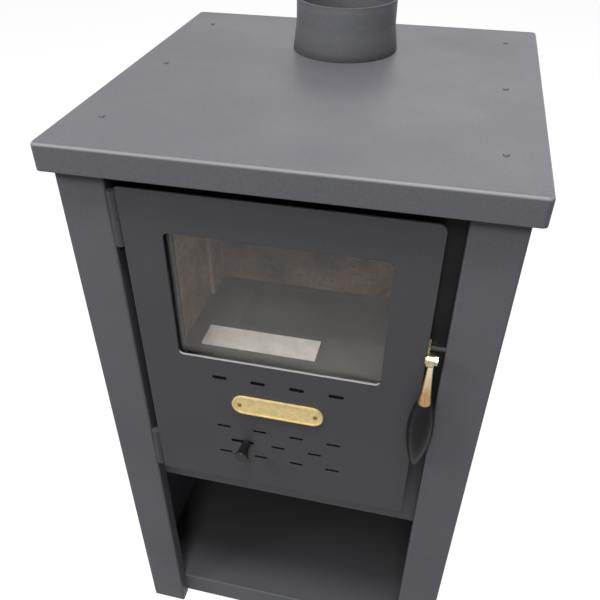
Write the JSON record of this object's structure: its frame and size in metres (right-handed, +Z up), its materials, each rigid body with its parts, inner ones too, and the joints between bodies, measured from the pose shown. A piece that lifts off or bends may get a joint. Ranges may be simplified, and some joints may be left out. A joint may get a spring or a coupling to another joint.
{
  "type": "wood stove",
  "caption": "Free-standing steel wood stove with a flue collar on its folded top plate, a hinged glass door with a latch handle and a sliding air control, and an open wood store below.",
  "frame": {"origin": "on the floor, under the middle of the whole stove's box", "axes": "+Z up, -Y towards the front where the door is, +X to the right as seen from the front"},
  "size_m": [0.454, 0.4754, 0.835],
  "materials": {
    "paint": "satin dark grey metallic paint",
    "firebox_paint": "matt black, heat-proof",
    "bright_steel": "zinc-plated",
    "brass": "polished",
    "grip_black": "satin black",
    "knob_black": "glossy black",
    "glass": "clear, heat-proof",
    "firebrick": "rough, pale",
    "tile": "matt, pale beige",
    "cast_iron": "raw casting",
    "rope": "braided glass fibre, dark"
  },
  "bodies": {
    "stove": {"top_plate": "paint", "top_rivets": "paint", "flue_collar": "paint", "left_side_panel": "paint", "right_side_panel": "paint", "left_top_rail": "paint", "right_top_rail": "paint", "rear_panel": "paint", "front_plate": "paint", "base_tray": "paint", "store_ceiling": "paint", "firebox_bottom": "firebox_paint", "firebox_left_wall": "firebox_paint", "firebox_right_wall": "firebox_paint", "firebox_back": "firebox_paint", "left_hearth_rail": "firebox_paint", "right_hearth_rail": "firebox_paint", "hearth_plate": "cast_iron", "hearth_insert": "cast_iron", "hearth_tile": "tile", "left_liner": "firebrick", "right_liner": "firebrick", "left_corner_liner": "firebrick", "right_corner_liner": "firebrick", "rear_liner": "firebrick", "baffle": "firebrick", "ash_pan": "bright_steel", "upper_frame_knuckle": "paint", "lower_frame_knuckle": "paint", "upper_hinge_pin": "bright_steel", "lower_hinge_pin": "bright_steel", "latch_keeper": "bright_steel"},
    "door": {"door_panel": "paint", "upper_door_knuckle": "paint", "lower_door_knuckle": "paint", "seal_channel": "paint", "door_seal": "rope", "glass_gasket": "rope", "door_glass": "glass", "glass_clips": "bright_steel", "clip_screws": "bright_steel", "slide_guides": "bright_steel", "name_plate": "brass", "name_plate_rivets": "brass", "handle_bracket": "bright_steel", "pivot_bolt": "bright_steel", "pivot_nut": "bright_steel"},
    "air_control": {"air_slide": "bright_steel", "air_stem": "bright_steel", "air_knob": "knob_black"},
    "handle": {"latch_lever": "bright_steel", "handle_ferrule": "brass", "handle_grip": "grip_black"}
  },
  "joints": [
    {"name": "door_swing", "type": "hinge", "parent": "stove", "child": "door", "pos_m": [-0.162, -0.20685, 0.537], "axis": [0, 0, -1], "range_deg": [0, 110]},
    {"name": "air_slide", "type": "slide", "parent": "door", "child": "air_control", "axis": [1, 0, 0], "range_m": [-0.016, 0.0055]},
    {"name": "handle_lift", "type": "hinge", "parent": "door", "child": "handle", "pos_m": [0.1548, -0.22385, 0.598], "axis": [-1, 0, 0], "range_deg": [0, 75]}
  ]
}
